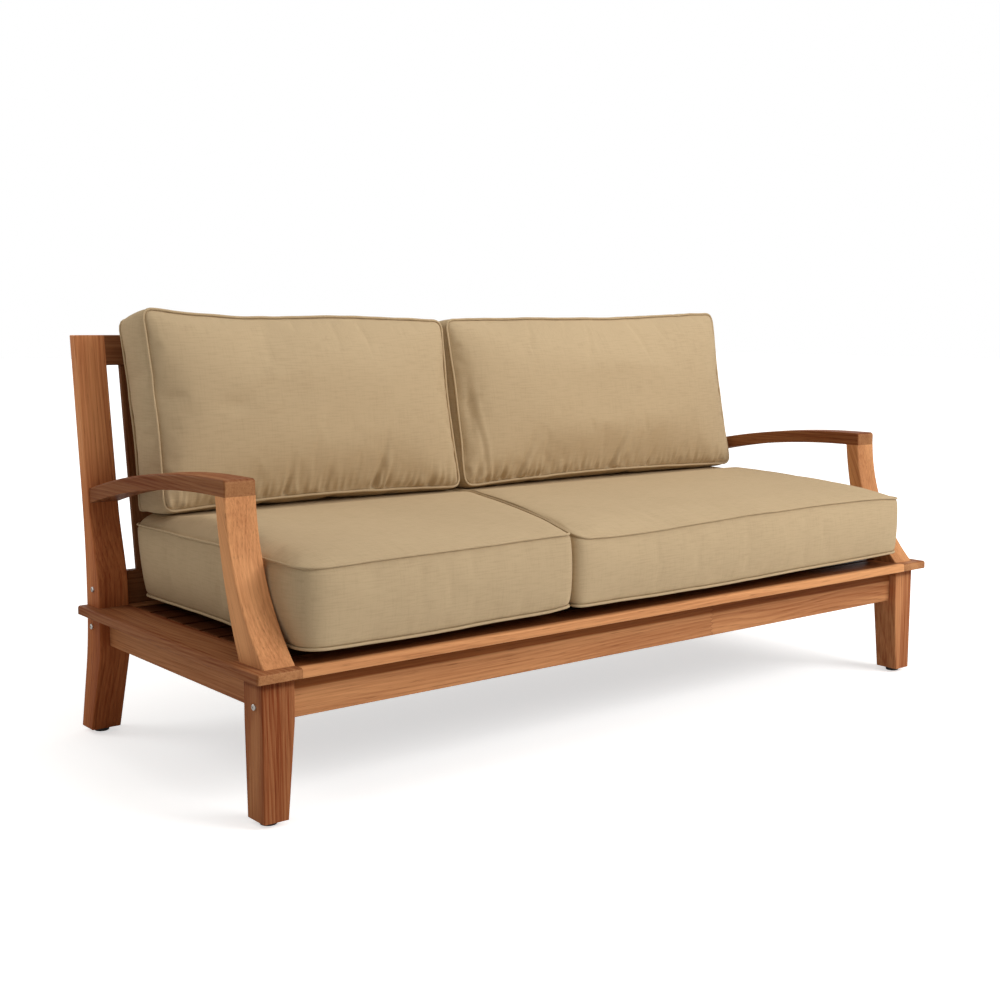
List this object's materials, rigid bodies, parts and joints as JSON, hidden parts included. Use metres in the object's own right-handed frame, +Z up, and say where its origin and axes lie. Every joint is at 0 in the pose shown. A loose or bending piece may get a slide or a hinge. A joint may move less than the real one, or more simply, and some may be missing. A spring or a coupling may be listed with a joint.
{
  "type": "patio loveseat",
  "caption": "Outdoor hardwood loveseat with a slatted leaning back, curved arm posts, arched arms and loose boxed seat and back cushions.",
  "frame": {"origin": "on the floor, under the centre of the footprint", "axes": "+X along the loveseat to the right as seen from the front, -Y towards the front, +Z up"},
  "size_m": [1.934, 0.825, 0.9054],
  "materials": {
    "hardwood": "oiled, straight grain",
    "dowel": "plain turned",
    "canvas": "woven canvas",
    "steel": "brushed",
    "glide": "matt moulded"
  },
  "bodies": {
    "frame": {"arm_post_left": "hardwood", "arm_post_right": "hardwood", "armrest_left": "hardwood", "armrest_right": "hardwood", "back_bottom_rail": "hardwood", "back_post_left": "hardwood", "back_post_right": "hardwood", "back_slat_01": "hardwood", "back_slat_02": "hardwood", "back_slat_03": "hardwood", "back_slat_04": "hardwood", "back_slat_05": "hardwood", "back_slat_06": "hardwood", "back_slat_07": "hardwood", "back_slat_08": "hardwood", "back_slat_09": "hardwood", "back_slat_10": "hardwood", "back_slat_11": "hardwood", "back_slat_12": "hardwood", "back_slat_13": "hardwood", "back_slat_14": "hardwood", "back_slat_15": "hardwood", "back_slat_16": "hardwood", "back_slat_17": "hardwood", "back_slat_18": "hardwood", "back_slat_19": "hardwood", "back_top_rail": "hardwood", "barrel_nuts": "steel", "dowels": "dowel", "foot_glides": "glide", "frame_bolts": "steel", "front_apron": "hardwood", "front_leg_left": "hardwood", "front_leg_right": "hardwood", "ledge_front": "hardwood", "ledge_left": "hardwood", "ledge_rear": "hardwood", "ledge_right": "hardwood", "rear_apron": "hardwood", "seat_bearer_1": "hardwood", "seat_bearer_2": "hardwood", "seat_bearer_3": "hardwood", "seat_slat_1": "hardwood", "seat_slat_2": "hardwood", "seat_slat_3": "hardwood", "seat_slat_4": "hardwood", "seat_slat_5": "hardwood", "seat_slat_6": "hardwood", "seat_slat_7": "hardwood", "seat_slat_8": "hardwood", "side_apron_left": "hardwood", "side_apron_right": "hardwood", "side_cleat_left": "hardwood", "side_cleat_right": "hardwood"},
    "seat_left": {"seat_cushion_left": "canvas"},
    "seat_right": {"seat_cushion_right": "canvas"},
    "back_left": {"back_cushion_left": "canvas"},
    "back_right": {"back_cushion_right": "canvas"}
  },
  "joints": [
    {"name": "seat_left_lift", "type": "slide", "parent": "frame", "child": "seat_left", "axis": [0, 0, 1], "range_m": [0, 0.36]},
    {"name": "seat_right_lift", "type": "slide", "parent": "frame", "child": "seat_right", "axis": [0, 0, 1], "range_m": [0, 0.36]},
    {"name": "back_left_lift", "type": "slide", "parent": "seat_left", "child": "back_left", "axis": [0, 0, 1], "range_m": [0, 0.4]},
    {"name": "back_right_lift", "type": "slide", "parent": "seat_right", "child": "back_right", "axis": [0, 0, 1], "range_m": [0, 0.4]}
  ]
}
